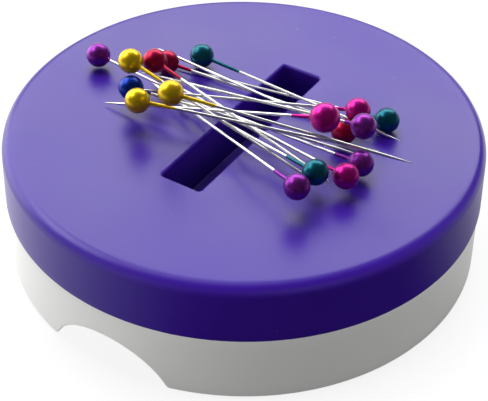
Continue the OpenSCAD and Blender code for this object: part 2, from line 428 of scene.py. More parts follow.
def filleted_loop(corners: np.ndarray, r: float, steps: int = 6) -> Loop:
    """A polygon whose corners are rounded, as a loop for a plate.

    At each corner the arc's middle is r / sin(half the corner's angle) along its bisector, and the normal
    turns evenly from one side's to the next side's.

    Args:
        corners: The polygon's corners, anticlockwise.
        r: Radius of every corner.
        steps: Steps along each arc.

    Returns:
        The loop's corners and its normals out of the material.
    """
    back = np.roll(corners, 1, 0) - corners
    on = np.roll(corners, -1, 0) - corners
    back /= np.linalg.norm(back, axis=1)[:, None]
    on /= np.linalg.norm(on, axis=1)[:, None]
    turn = np.sign(-back[:, 0] * on[:, 1] + back[:, 1] * on[:, 0])[:, None]
    bisector = back + on
    bisector /= np.linalg.norm(bisector, axis=1)[:, None]
    half = np.arccos(np.clip((back * bisector).sum(1), -1, 1))[:, None]
    middle = corners + bisector * r / np.sin(half)
    first, last = np.stack([-back[:, 1], back[:, 0]], -1), np.stack([on[:, 1], -on[:, 0]], -1)
    t = np.linspace(0, 1, steps + 1)[None, :, None]
    normal = first[:, None] * (1 - t) + last[:, None] * t
    normal /= np.linalg.norm(normal, axis=2)[..., None]
    return (middle[:, None] + normal * r * turn[:, None]).reshape(-1, 2), normal.reshape(-1, 2)


# Finishes

Socket = bpy.types.NodeSocket


class Graph:
    """A node tree being wired. Values go on a node's own sockets, and a socket as a value makes a link."""

    def __init__(self, tree: bpy.types.NodeTree) -> None:
        """Keeps the tree, a material's or a group's."""
        self.tree = tree

    @staticmethod
    def of(made: bpy.types.Material | bpy.types.World) -> "Graph":
        """Opens the node tree of a new material or world.

        Args:
            made: The material or world.

        Returns:
            Its graph, with no node in it.
        """
        made.use_nodes = True
        made.node_tree.nodes.clear()
        return Graph(made.node_tree)

    def add(self, kind: str, sockets: dict | None = None, **options: object) -> bpy.types.Node:
        """Adds a node.

        Args:
            kind: Type of the node.
            sockets: Input name or number, to a value or to the output socket that feeds it.
            **options: The node's own settings.

        Returns:
            The node.
        """
        made = self.tree.nodes.new(kind)
        for name, value in options.items():
            setattr(made, name, value)
        for name, value in (sockets or {}).items():
            if isinstance(value, Socket):
                self.tree.links.new(value, made.inputs[name])
            else:
                made.inputs[name].default_value = value
        return made

    def group(self, tree: bpy.types.NodeTree, sockets: dict | None = None) -> bpy.types.Node:
        """Adds a shared group, its inputs given by name."""
        return self.add("ShaderNodeGroup", sockets, node_tree=tree)

    def surface(self, height: Socket, strength: float, depth: float, sockets: dict) -> Socket:
        """A principled shader over a bump of a strength and a depth in metres."""
        bump = self.add("ShaderNodeBump", {"Strength": strength, "Distance": depth, "Height": height})
        return self.add("ShaderNodeBsdfPrincipled", {**sockets, "Normal": bump.outputs[0]}).outputs[0]

    def noise(self, place: Socket, scale: float | Socket, detail: float = 2.0, rough: float = 0.5) -> Socket:
        """The grey value of a noise texture read at a place."""
        return self.add("ShaderNodeTexNoise", {"Vector": place, "Scale": scale, "Detail": detail,
                                               "Roughness": rough}).outputs["Fac"]

    def ramp(self, value: Socket, low: float, high: float, to_low: float = 0.0,
             to_high: float = 1.0) -> Socket:
        """Maps a value from the range low to high to the range to_low to to_high, and keeps it inside."""
        return self.add("ShaderNodeMapRange", {"Value": value, "From Min": low, "From Max": high,
                                               "To Min": to_low, "To Max": to_high}).outputs["Result"]

    def mix(self, share: Socket, a: object, b: object) -> Socket:
        """Mixes two colours or colour sockets: share is 0 for the first and 1 for the second."""
        return self.add("ShaderNodeMix", {0: share, 6: a, 7: b}, data_type="RGBA").outputs[2]

    def maths(self, operation: str, a: object, b: object) -> Socket:
        """One step of arithmetic on two values or sockets, by its name, such as MULTIPLY."""
        return self.add("ShaderNodeMath", {0: a, 1: b}, operation=operation).outputs[0]


def rgba(colour: Colour, tone: float = 1.0) -> tuple[float, float, float, float]:
    """A linear colour with its alpha, made lighter or darker by a factor."""
    return (colour[0] * tone, colour[1] * tone, colour[2] * tone, 1.0)


class EffectGroups:
    """The shader groups that several finishes share, each built once."""

    def __init__(self) -> None:
        """Builds every group."""
        self.grain = self._mould_grain()
        self.wear = self._edge_polish()
        self.specks = self._specks()
        self.streaks = self._drawn_streaks()

    @staticmethod
    def _begin(name: str, takes: dict[str, object], gives: dict[str, str]
               ) -> tuple[Graph, bpy.types.Node, bpy.types.Node]:
        """Starts a group.

        Args:
            name: The group's name.
            takes: Input name, to its default: a number, or a colour with its alpha.
            gives: Output name, to Float or Color.

        Returns:
            The graph, the group's input node and its output node.
        """
        tree = bpy.data.node_groups.new(name, "ShaderNodeTree")
        for label, value in takes.items():
            kind = "NodeSocketColor" if isinstance(value, tuple) else "NodeSocketFloat"
            tree.interface.new_socket(label, in_out="INPUT", socket_type=kind).default_value = value
        for label, kind in gives.items():
            tree.interface.new_socket(label, in_out="OUTPUT", socket_type=f"NodeSocket{kind}")
        graph = Graph(tree)
        return graph, graph.add("NodeGroupInput"), graph.add("NodeGroupOutput")

    @staticmethod
    def _end(g: Graph, end: bpy.types.Node, gives: dict[str, Socket]) -> bpy.types.NodeTree:
        """Feeds the group's outputs.

        Args:
            g: The group's graph.
            end: Its output node.
            gives: Output name, to the socket that feeds it.

        Returns:
            The group's tree.
        """
        for name, socket in gives.items():
            g.tree.links.new(socket, end.inputs[name])
        return g.tree

    def _mould_grain(self) -> bpy.types.NodeTree:
        """Fine moulded grain as a height, and slow clouding as a value about 0.5.

        Returns:
            The group's tree.
        """
        g, start, end = self._begin("mould_grain", {"Fine Scale": 2600.0, "Cloud Scale": 30.0},
                                    {"Height": "Float", "Cloud": "Float"})
        place = g.add("ShaderNodeTexCoord").outputs["Object"]
        fine = g.noise(place, start.outputs["Fine Scale"], 3.0, 0.6)
        pebble = g.noise(place, g.maths("MULTIPLY", start.outputs["Fine Scale"], 0.31), 1.0)
        height = g.maths("ADD", g.maths("MULTIPLY", fine, 0.6), g.maths("MULTIPLY", pebble, 0.4))
        cloud = g.noise(place, start.outputs["Cloud Scale"], 3.0, 0.45)
        return self._end(g, end, {"Height": height, "Cloud": g.ramp(cloud, 0.3, 0.7)})

    def _edge_polish(self) -> bpy.types.NodeTree:
        """Where a rounded edge is rubbed smooth: the edge attribute, broken up by noise.

        Returns:
            The group's tree.
        """
        g, start, end = self._begin(
            "edge_polish",
            {"Colour": (0.5, 0.5, 0.5, 1), "Rubbed Colour": (1, 1, 1, 1), "Amount": 0.5, "Scale": 180.0},
            {"Colour": "Color", "Mask": "Float"})
        place = g.add("ShaderNodeTexCoord").outputs["Object"]
        edge = g.add("ShaderNodeAttribute", attribute_name="edge").outputs["Fac"]
        patch = g.ramp(g.noise(place, start.outputs["Scale"], 4.0, 0.6), 0.35, 0.75)
        mask = g.maths("MULTIPLY", g.maths("MULTIPLY", edge, patch), start.outputs["Amount"])
        mixed = g.mix(mask, start.outputs["Colour"], start.outputs["Rubbed Colour"])
        return self._end(g, end, {"Colour": mixed, "Mask": mask})

    def _specks(self) -> bpy.types.NodeTree:
        """Sparse small specks of dust: cells of a scattered pattern near their own random points.

        Returns:
            The group's tree.
        """
        g, start, end = self._begin("dust_specks", {"Scale": 260.0, "Size": 0.09, "Amount": 0.5},
                                    {"Mask": "Float"})
        place = g.add("ShaderNodeTexCoord").outputs["Object"]
        cells = g.add("ShaderNodeTexVoronoi", {"Vector": place, "Scale": start.outputs["Scale"]})
        size = g.maths("MULTIPLY", start.outputs["Size"], g.ramp(g.noise(place, 40.0), 0.45, 0.7))
        dot = g.maths("LESS_THAN", cells.outputs["Distance"], size)
        return self._end(g, end, {"Mask": g.maths("MULTIPLY", dot, start.outputs["Amount"])})

    def _drawn_streaks(self) -> bpy.types.NodeTree:
        """Streaks that run along a drawn or rolled surface: noise read from the piece's own profile map.

        Returns:
            The group's tree.
        """
        g, start, end = self._begin("drawn_streaks", {"Across": 9.0, "Along": 0.35},
                                    {"Height": "Float", "Shade": "Float"})
        map_place = g.add("ShaderNodeUVMap", uv_map="profile").outputs["UV"]
        parts = g.add("ShaderNodeSeparateXYZ", {0: map_place})
        across = g.maths("MULTIPLY", parts.outputs["X"], start.outputs["Across"])
        along = g.maths("MULTIPLY", parts.outputs["Y"], start.outputs["Along"])
        stretched = g.add("ShaderNodeCombineXYZ", {"X": across, "Y": along}).outputs[0]
        streak = g.noise(stretched, 1.0, 4.0, 0.65)
        return self._end(g, end, {"Height": streak, "Shade": g.ramp(streak, 0.3, 0.7)})


class Finish:
    """A surface finish that can be put on a piece."""

    name: str

    def wire(self, g: Graph, groups: EffectGroups) -> Socket:
        """Wires the shader and returns its output.

        Args:
            g: Graph of the material.
            groups: The shared effect groups.

        Returns:
            The shader's socket.
        """
        raise NotImplementedError

    def material(self, groups: EffectGroups) -> bpy.types.Material:
        """Builds the finish as a material.

        Args:
            groups: The shared effect groups.

        Returns:
            The material.
        """
        made = bpy.data.materials.new(f"{self.name}_finish")
        g = Graph.of(made)
        g.add("ShaderNodeOutputMaterial", {"Surface": self.wire(g, groups)})
        return made


@dataclass(frozen=True)
class MouldedPlastic(Finish):
    """Injection-moulded plastic with a fine grain, slow clouding and edges rubbed a little smoother."""

    name: str
    colour: Colour
    cloud: float = 0.06
    roughness: float = 0.4
    uneven: float = 0.03
    grain_depth: float = 0.00002
    grain_strength: float = 0.15
    rubbed: float = 0.3
    rubbed_tone: float = 1.25
    dust: float = 0.06
    dust_colour: Colour = (0.75, 0.74, 0.72)

    def wire(self, g: Graph, groups: EffectGroups) -> Socket:
        """Clouded colour, polished at the edges and specked with dust, over a grained bump.

        Args:
            g: Graph of the material.
            groups: The shared effect groups.

        Returns:
            The shader's socket.
        """
        grain = g.group(groups.grain)
        body = g.mix(grain.outputs["Cloud"], rgba(self.colour, 1 - self.cloud),
                     rgba(self.colour, 1 + self.cloud))
        wear = g.group(groups.wear, {"Colour": body, "Rubbed Colour": rgba(self.colour, self.rubbed_tone),
                                     "Amount": self.rubbed})
        specks = g.group(groups.specks, {"Amount": self.dust})
        colour = g.mix(specks.outputs["Mask"], wear.outputs["Colour"], rgba(self.dust_colour))
        worn = g.ramp(wear.outputs["Mask"], 0.0, 1.0, self.roughness, self.roughness * 0.7)
        rough = g.maths("ADD", worn, g.ramp(grain.outputs["Cloud"], 0.0, 1.0, -self.uneven, self.uneven))
        return g.surface(grain.outputs["Height"], self.grain_strength, self.grain_depth,
                         {"Base Color": colour, "Roughness": rough})


@dataclass(frozen=True)
class PearlLacquer(Finish):
    """Pearl lacquer on a head: a metallic body colour with deeper clouds, under a clear coat."""

    name: str
    colour: Colour
    deep: Colour
    clouding: float = 0.6
    metallic: float = 0.88
    roughness: float = 0.36
    coat: float = 0.15
    coat_roughness: float = 0.1
    uneven: float = 0.03
    grain_scale: float = 5200.0
    cloud_scale: float = 900.0
    grain_depth: float = 0.00001
    grain_strength: float = 0.05

    def wire(self, g: Graph, groups: EffectGroups) -> Socket:
        """Body colour clouded with the deep tone, under the clear coat.

        Args:
            g: Graph of the material.
            groups: The shared effect groups.

        Returns:
            The shader's socket.
        """
        grain = g.group(groups.grain, {"Fine Scale": self.grain_scale, "Cloud Scale": self.cloud_scale})
        share = g.maths("MULTIPLY", grain.outputs["Cloud"], self.clouding)
        colour = g.mix(share, rgba(self.colour), rgba(self.deep))
        rough = g.ramp(grain.outputs["Cloud"], 0.0, 1.0, self.roughness - self.uneven,
                       self.roughness + self.uneven)
        return g.surface(grain.outputs["Height"], self.grain_strength, self.grain_depth, {
            "Base Color": colour, "Roughness": rough, "Metallic": self.metallic, "Coat Weight": self.coat,
            "Coat Roughness": self.coat_roughness,
        })


@dataclass(frozen=True)
class DrawnSteel(Finish):
    """Bright steel with streaks along the way that it was drawn, rolled or turned."""

    name: str
    colour: Colour
    roughness: float
    across: float = 9.0
    along: float = 0.35
    depth: float = 0.00001
    contrast: float = 0.12
    rubbed: float = 0.4
    strength: float = 0.1

    def wire(self, g: Graph, groups: EffectGroups) -> Socket:
        """Metal whose tone, gloss and bump follow the drawn streaks.

        Args:
            g: Graph of the material.
            groups: The shared effect groups.

        Returns:
            The shader's socket.
        """
        streaks = g.group(groups.streaks, {"Across": self.across, "Along": self.along})
        colour = g.mix(streaks.outputs["Shade"], rgba(self.colour, 1 - self.contrast),
                       rgba(self.colour, 1 + self.contrast))
        wear = g.group(groups.wear, {"Colour": colour, "Rubbed Colour": rgba(self.colour, 1.2),
                                     "Amount": self.rubbed, "Scale": 900.0})
        rough = g.ramp(streaks.outputs["Shade"], 0.0, 1.0, self.roughness * 0.75, self.roughness * 1.3)
        return g.surface(streaks.outputs["Height"], self.strength, self.depth, {
            "Base Color": wear.outputs["Colour"], "Roughness": rough, "Metallic": 1.0,
        })


@dataclass(frozen=True)
class Granular(Finish):
    """Dull material with a coarse grain: pressed ferrite, foam or moulded rubber."""

    name: str
    colour: Colour
    second: Colour
    scale: float
    depth: float
    roughness: float
    rubbed: float = 0.4
    dust: float = 0.3
    strength: float = 0.6

    def wire(self, g: Graph, groups: EffectGroups) -> Socket:
        """Two tones mixed by the grain, edges rubbed lighter, and dust lying on it.

        Args:
            g: Graph of the material.
            groups: The shared effect groups.

        Returns:
            The shader's socket.
        """
        grain = g.group(groups.grain, {"Fine Scale": self.scale, "Cloud Scale": self.scale / 14})
        tone = g.ramp(grain.outputs["Height"], 0.35, 0.65)
        body = g.mix(tone, rgba(self.colour), rgba(self.second))
        shaded = g.mix(g.maths("MULTIPLY", grain.outputs["Cloud"], 0.3), body, rgba(self.colour, 0.7))
        wear = g.group(groups.wear, {"Colour": shaded, "Rubbed Colour": rgba(self.second, 1.5),
                                     "Amount": self.rubbed, "Scale": 700.0})
        specks = g.group(groups.specks, {"Amount": self.dust, "Scale": 700.0})
        colour = g.mix(specks.outputs["Mask"], wear.outputs["Colour"], rgba(self.second, 1.8))
        rough = g.ramp(tone, 0.0, 1.0, self.roughness - 0.08, min(1.0, self.roughness + 0.08))
        return g.surface(grain.outputs["Height"], self.strength, self.depth,
                         {"Base Color": colour, "Roughness": rough})


class Pearl(Enum):
    """The lacquer colours of the heads, each with the name of its finish."""

    VIOLET = "pearl_violet"
    YELLOW = "pearl_yellow"
    CRIMSON = "pearl_crimson"
    TEAL = "pearl_teal"
    BLUE = "pearl_blue"
    MAGENTA = "pearl_magenta"


CAP_PURPLE = MouldedPlastic("cap_purple", (0.032, 0.005, 0.24), roughness=0.36)
BASE_WHITE = MouldedPlastic("base_white", (0.80, 0.795, 0.78), cloud=0.012, roughness=0.32, rubbed=0.15,
                            rubbed_tone=1.05, dust=0.03)
PIN_STEEL = DrawnSteel("pin_steel", (0.86, 0.86, 0.83), 0.3, depth=0.000003, contrast=0.03, rubbed=0.15)
SCREW_STEEL = DrawnSteel("screw_steel", (0.50, 0.50, 0.50), 0.3, 3.0, 1.2)
KEEPER_STEEL = DrawnSteel("steel_plate", (0.46, 0.46, 0.47), 0.38, 2.2, 0.06, 0.00003)
FERRITE = Granular("ferrite", (0.022, 0.022, 0.024), (0.055, 0.053, 0.052), 2600.0, 0.00006, 0.7)
FOAM = Granular("foam_pad", (0.62, 0.61, 0.58), (0.82, 0.81, 0.78), 1900.0, 0.00015, 0.92, 0.1, 0.0)
RUBBER = Granular("foot_rubber", (0.020, 0.020, 0.021), (0.040, 0.040, 0.041), 3200.0, 0.00003, 0.62, 0.5,
                  0.4)
PEARLS: dict[Pearl, PearlLacquer] = {
    pearl: PearlLacquer(pearl.value, colour, deep) for pearl, colour, deep in (
        (Pearl.VIOLET, (0.26, 0.022, 0.33), (0.10, 0.008, 0.18)),
        (Pearl.YELLOW, (0.90, 0.62, 0.012), (0.50, 0.29, 0.004)),
        (Pearl.CRIMSON, (0.42, 0.003, 0.052), (0.22, 0.002, 0.026)),
        (Pearl.TEAL, (0.003, 0.12, 0.17), (0.001, 0.045, 0.075)),
        (Pearl.BLUE, (0.004, 0.035, 0.34), (0.001, 0.012, 0.14)),
        (Pearl.MAGENTA, (0.54, 0.006, 0.27), (0.30, 0.003, 0.14)),
    )
}


@dataclass
class Workshop:
    """Turns shells into pieces of the scene and keeps count of them."""

    groups: EffectGroups = field(default_factory=EffectGroups)
    materials: dict[str, bpy.types.Material] = field(default_factory=dict)
    made: list[str] = field(default_factory=list)

    def dress(self, mesh: bpy.types.Mesh, finish: Finish) -> None:
        """Puts a finish on a mesh, building its material the first time that it is asked for.

        Args:
            mesh: The mesh to dress.
            finish: Its finish.
        """
        if finish.name not in self.materials:
            self.materials[finish.name] = finish.material(self.groups)
        mesh.materials.append(self.materials[finish.name])

    def piece(self, name: str, shell: Shell, finish: Finish, body: str = BOWL,
              stands_for: Iterable[str] = (), sharp: float = 34.0) -> None:
        """Makes one piece, dresses it and lets it ride on its body.

        Args:
            name: Name of the piece.
            shell: Its closed surface.
            finish: Its finish, whose name also names its material.
            body: The body that it moves with.
            stands_for: CAD nodes that it is shown instead of.
            sharp: Angle in degrees above which an edge stays sharp.
        """
        mesh = bpy.data.meshes.new(name)
        mesh.from_pydata((shell.points * MM).tolist(), [], shell.quads.tolist() + shell.tris.tolist())
        uv = np.concatenate([shell.quad_uv.reshape(-1, 2), shell.tri_uv.reshape(-1, 2)]).astype(np.float32)
        mesh.uv_layers.new(name="profile").data.foreach_set("uv", uv.ravel())
        edge = mesh.attributes.new("edge", "FLOAT", "POINT")
        edge.data.foreach_set("value", shell.edge.astype(np.float32))
        mesh.shade_smooth()
        mesh.set_sharp_from_angle(angle=math.radians(sharp))
        mesh.update()
        made = bpy.data.objects.new(name, mesh)
        bpy.context.scene.collection.objects.link(made)
        self.dress(mesh, finish)
        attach(made, body)
        if stands_for:
            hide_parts(*stands_for)
        self.made.append(name)
        LOG.info("%s: %d points, %d faces, on %s", name, len(mesh.vertices), len(mesh.polygons), body)


# The object's parts


@dataclass(frozen=True)
class Case:
    """Driving sizes that the pieces of the case share, and what follows from them."""

    cap_r: float = 50.0
    draft: float = 0.25
    wall: float = 2.2
    top: float = 28.5
    seam: float = 15.5
    deck: float = 10.4
    deck_t: float = 2.0
    ceiling: float = 26.1
    tongue_gap: float = 0.2
    tongue_t: float = 1.6
    well: RoundedOutline = RoundedOutline(4.6, 23.1, 0.6, 24, 8, 52)
    well_floor: float = 17.5
    well_wall: float = 1.6
    screw_r: float = 1.25
    screw_l: float = 12.0
    screws: Place = (28.464, 29.995)
    foot_r: float = 4.0
    foot_h: float = 2.5
    feet: Place = (35.006, 19.967)
    magnet_x: float = 8.0
    magnet_w: float = 25.0
    magnet_l: float = 40.0
    magnet_t: float = 6.0
    magnet_gap: float = 0.2
    foam_t: float = 0.5
    keeper_t: float = 1.2

    @property
    def deck_top(self) -> float:
        """Height of the deck's upper face, where the bosses and posts stand."""
        return self.deck + self.deck_t

    @property
    def inner_r(self) -> float:
        """Inner radius of the cap's side wall."""
        return self.cap_r - self.draft - self.wall

    @property
    def tongue_r(self) -> float:
        """Outer radius of the base's tongue."""
        return self.inner_r - self.tongue_gap

    @property
    def magnet_bottom(self) -> float:
        """Height of the magnets' lower faces, where the keeper plate lies."""
        return self.ceiling - self.foam_t - self.magnet_t


@dataclass(frozen=True)
class Assembly:
    """A sub-assembly of the case."""

    case: Case = Case()

    def build(self, shop: Workshop) -> None:
        """Makes the sub-assembly's pieces.

        Args:
            shop: The workshop that turns shells into pieces.
        """
        raise NotImplementedError


@dataclass(frozen=True)
class Cap(Assembly):
    """Purple cap with its finger well, screw bosses and magnet ribs."""

    rim_r: float = 2.5
    lip_edge_r: float = 0.25
    boss_r: float = 3.5
    mouth_r: float = 0.6
    floor_r: float = 0.2
    under_r: float = 0.6
    root_r: float = 1.0
    rib_t: float = 1.2
    rib_h: float = 4.0
    sunk: float = 0.4
    spread: float = 30.0

    def _circle(self, r: np.ndarray | float) -> np.ndarray:
        """Circles whose columns lie at the bearings of the well's outline moved out by the spread.

        Args:
            r: One radius, or one for each row.

        Returns:
            Points as rows x columns x 2.
        """
        far = self.case.well.at(self.spread)[0]
        a = np.arctan2(far[:, 1], far[:, 0])
        return np.atleast_1d(r)[:, None, None] * np.stack([np.cos(a), np.sin(a)], -1)[None]

    def shell(self) -> Shell:
        """One profile carried round, from the well's outline to the rim circle.

        From the middle of the well's floor it goes out to the floor's edge, up the wall, over the soft
        mouth, across the top, over the rim and down the side, round the lip, up inside the wall, across
        the ceiling and down the outside of the well to the middle of its underside. On the top and the
        ceiling a point is (1 - t) outline + t circle.

        Returns:
            The closed shell.
        """
        c, w, circle = self.case, self.case.well, self._circle
        e, q, under_r, lip_r = self.mouth_r, self.floor_r, self.under_r, self.lip_edge_r
        floor, under, side_r = c.well_floor, c.well_floor - c.well_wall, c.cap_r - c.draft
        rim_in, rim_z = side_r - self.rim_r, c.top - self.rim_r
        ceiling_in = c.inner_r - under_r
        across, along = bend(q, 5, -90, 0)
        mouth_in, mouth_up = bend(e, 8, 180, 90)
        rim_out, rim_up = bend(self.rim_r, 12, 90, 0)
        lip_out, lip_down = bend(lip_r, 4, 0, -90)
        inner_in, inner_up = bend(under_r, 4, 0, 90)
        bottom_in, bottom_down = bend(under_r, 4, 0, -90)
        flat = np.array([0.3, 0.65])[:, None, None]
        share = (np.linspace(0, 1, 13)[1:-1] ** 0.8)[:, None, None]
        back_share = np.linspace(1, 0, 9)[1:-1][:, None, None]
        wall_z = np.linspace(floor + q, c.top - e, 9)[1:-1]
        side_z = np.linspace(rim_z, c.seam + lip_r, 7)[1:]
        side_lean = np.interp(side_z, [c.seam, rim_z], [c.cap_r, side_r])
        parts = [
            (level(w.at(-q) * flat, floor), 0),
            (level(w.at(across - q), floor + q + along), 0),
            (level(w.at(np.zeros_like(wall_z)), wall_z), 0),
            (level(w.at(e + mouth_in), c.top - e + mouth_up), 1),
            (level(w.at(e) * (1 - share) + circle(rim_in) * share, c.top), 0),
            (level(circle(rim_in + rim_out), rim_z + rim_up), 1),
            (level(circle(side_lean), side_z), 0),
            (level(circle(c.cap_r - lip_r + lip_out[1:]), c.seam + lip_r + lip_down[1:]), 1),
            (level(circle(np.array([c.inner_r + 0.2, c.inner_r])), np.array([c.seam, c.seam + 0.2])), 0),
            (level(circle(ceiling_in + inner_in), c.ceiling - under_r + inner_up), 0),
            (level(w.at(c.well_wall + under_r) * (1 - back_share) + circle(ceiling_in) * back_share,
                   c.ceiling), 0),
            (level(w.at(c.well_wall + under_r - inner_up), c.ceiling - under_r + inner_in), 0),
            (level(w.at(c.well_wall - under_r + bottom_in), under + under_r + bottom_down), 0),
            (level(w.at(c.well_wall - under_r) * flat[::-1], under), 0),
        ]
        edge = np.concatenate([np.full(len(rows), mark) for rows, mark in parts])
        return skin(np.concatenate([rows for rows, _ in parts]), [(0, 0, floor), (0, 0, under)], edge)

    def boss(self) -> Shell:
        """Screw boss: a post with a blind pilot hole, flared where it meets the ceiling.

        Returns:
            One boss about the Z axis.
        """
        c, r, root = self.case, self.boss_r, self.root_r
        pilot_r, pilot_top, head = c.screw_r, c.deck + c.screw_l, c.ceiling + self.sunk
        return spun(np.array([
            [0, pilot_top], [pilot_r * 0.6, pilot_top], [pilot_r, pilot_top - 0.6],
            [pilot_r, c.deck_top + 0.3], [pilot_r + 0.3, c.deck_top],
            [r - 0.25, c.deck_top], [r, c.deck_top + 0.25], *flare(r, root, c.ceiling), [r + root, head],
            [0, head],
        ]), 40)

    def ribs(self) -> list[Shell]:
        """The three low ribs at each magnet, each a soft-edged wall sunk a little into the ceiling.

        Returns:
            The six ribs in their places.
        """
        c, half = self.case, self.rib_t / 2
        near, far = c.magnet_x - c.magnet_gap, c.magnet_x + c.magnet_w + c.magnet_gap
        end_y = c.magnet_l / 2 + c.magnet_gap
        base, head = c.ceiling - self.rib_h, c.ceiling + self.sunk
        out = SoftBlock(RoundedOutline(half, end_y + self.rib_t, 0.25, 3, 2, 12), base, head, 0.2).shell()
        span = (far - near) / 2 + half
        end = SoftBlock(RoundedOutline(span, half, 0.25, 3, 12, 2), base, head, 0.2).shell()
        mid = (near + far) / 2 + half
        return [s for side in (-1, 1) for s in (
            out.moved(side * (far + half)),
            end.moved(side * mid, end_y + half), end.moved(side * mid, -end_y - half),
        )]

    def build(self, shop: Workshop) -> None:
        """Makes the cap, its screw bosses and its magnet ribs.

        Args:
            shop: The workshop that turns shells into pieces.
        """
        shop.piece("cap_shell", self.shell(), CAP_PURPLE, stands_for=["top_cap"])
        shop.piece("cap_screw_bosses", Shell.joined(self.boss().corners(self.case.screws)), CAP_PURPLE)
        shop.piece("cap_magnet_ribs", Shell.joined(self.ribs()), CAP_PURPLE)


@dataclass(frozen=True)
class Base(Assembly):
    """White ring with an arch for a finger at each end, its deck, posts and foot sockets."""

    step: float = 0.4
    flare: float = 0.2
    lift: float = 0.5
    seam_gap: float = 0.15
    tongue_h: float = 4.0
    arch_r: float = 14.8
    arch_top: float = 9.0
    arch_foot_r: float = 1.0
    edge_r: float = 0.3
    side_columns: int = 84
    screw_gap: float = 0.3
    posts: Place = (24.0, 13.0)
    post_r: float = 3.0
    post_foot_r: float = 0.8
    socket_wall: float = 1.6
    socket_low: float = 1.2
    socket_root_r: float = 1.0
    sunk: float = 0.3

    def _arch_edge(self) -> np.ndarray:
        """Lower edge across one arch, from one foot to the other.

        The arch is a circle about (0, arch_top - arch_r). Each foot is rounded by a circle of arch_foot_r
        that touches both the arch and the lower edge.

        Returns:
            x, z, and the x and z parts of the unit normal into the material.
        """
        mid = self.arch_top - self.arch_r
        turn_z = self.lift + self.arch_foot_r
        reach = self.arch_r + self.arch_foot_r
        turn_x = math.sqrt(reach**2 - (turn_z - mid) ** 2)
        touch = math.atan2(turn_z - mid, turn_x)
        a = np.linspace(math.pi - touch, touch, 49)
        arch = np.stack([self.arch_r * np.cos(a), mid + self.arch_r * np.sin(a), np.cos(a), np.sin(a)])
        b = np.linspace(-math.pi / 2, touch - math.pi, 8)[:-1]
        left = np.stack([-turn_x - self.arch_foot_r * np.cos(b), turn_z + self.arch_foot_r * np.sin(b),
                         np.cos(b), -np.sin(b)])
        right = left[:, ::-1] * np.array([[-1], [1], [-1], [1]])
        return np.concatenate([left, arch, right], 1)

    def ring(self) -> Shell:
        """Closed ring profile carried round, its lower edge lifted where an arch passes.

        Across an arch a column keeps its x at every radius r, so y is the root of r^2 - x^2 and the arch's
        ceiling runs straight through the wall. Between the arches a column lies at an even share of the
        angle that is left. Near the lower edge a row moves into the material along the edge's normal.

        Returns:
            The closed shell.
        """
        c, q = self.case, self.edge_r
        ax, az, anx, anz = self._arch_edge()
        share = np.linspace(0, 1, self.side_columns + 1)[1:-1]
        low = np.concatenate([az, np.full(len(share), self.lift)] * 2)
        rise = np.concatenate([anz, np.ones(len(share))] * 2)
        rows, edge = [], []

        def row(r: float, z: np.ndarray | float, mark: int, inset: float = 0.0) -> None:
            """Adds one row of the grid.

            Args:
                r: Its radius.
                z: Its height, or one for each column.
                mark: 1 on a rounded edge.
                inset: How far its x across the arches moves along the edge's normal.
            """
            x = ax + anx * inset
            skip = math.asin(ax[-1] / r)
            a = skip + share * (math.pi - 2 * skip)
            near = np.stack([x, -np.sqrt(r * r - x * x)], -1)
            right = r * np.stack([np.sin(a), -np.cos(a)], -1)
            plan = np.concatenate([near, right, -near, -right])
            rows.append(np.column_stack([plan, np.broadcast_to(np.asarray(z, float), (len(plan),))]))
            edge.append(mark)

        top_r, shoulder = c.cap_r - self.step, c.seam - self.seam_gap
        foot_r, inner, tongue_in = top_r + self.flare, top_r - c.wall, c.tongue_r - c.tongue_t
        tongue_top, first = c.seam + self.tongue_h, low + rise * q
        turn = np.radians(np.linspace(0, 90, 5))
        for t in turn:
            inset = q * (1 - math.cos(t))
            row(foot_r - q + q * math.sin(t), low + rise * inset, 1, inset)
        for t in np.linspace(0, 1, 9)[1:]:
            row(foot_r + (top_r - foot_r) * t, first + (shoulder - 0.2 - first) * t, 0, q * (1 - t))
        for r, z, mark in (
            (top_r - 0.06, shoulder - 0.06, 1), (top_r - 0.2, shoulder, 1), (c.tongue_r, shoulder, 0),
            (c.tongue_r, tongue_top - 0.4, 0), (c.tongue_r - 0.4, tongue_top, 1),
            (tongue_in + 0.3, tongue_top, 1), (tongue_in, tongue_top - 0.3, 0), (tongue_in, c.deck_top, 0),
            (tongue_in, c.deck, 0), (inner - 0.5, c.deck, 0), (inner - 0.15, c.deck - 0.15, 0),
            (inner, c.deck - 0.5, 0),
        ):
            row(r, z, mark)
        for t in np.linspace(0, 1, 7)[1:-1]:
            row(inner, c.deck - 0.5 + (first - c.deck + 0.5) * t, 0, q * t)
        for t in turn[::-1]:
            inset = q * (1 - math.cos(t))
            row(inner + q - q * math.sin(t), low + rise * inset, 1, inset)
        return skin(np.stack(rows), edge=np.array(edge))

    def deck_plate(self) -> Shell:
        """The deck: a disc sunk into the ring, with a hole for each screw.

        Returns:
            The closed shell.
        """
        c, (x, y) = self.case, self.case.screws
        hole_r, reach = c.screw_r + self.screw_gap, c.tongue_r - c.tongue_t + 0.4
        holes = [ring_hole(hole_r, place, 32) for place in ((x, y), (-x, y), (-x, -y), (x, -y))]
        rim = compass(144)
        return CutPlate((rim * reach, rim), holes, c.deck, c.deck_top, 0.12).shell()

    def post(self) -> Shell:
        """Post under the keeper plate, flared at its foot and softened at its top.

        Returns:
            One post about the Z axis.
        """
        r, root, z, low = self.post_r, self.post_foot_r, self.case.deck_top, self.case.deck_top - self.sunk
        top = self.case.magnet_bottom - self.case.keeper_t
        across, up = bend(root, 4, 180, 270)
        foot = np.stack([r + root + across, z + root + up], -1)[::-1]
        return spun(np.array([[0, low], [r + root, low], *foot.tolist(), [r, top - 0.25], [r - 0.25, top],
                              [0, top]]), 40)

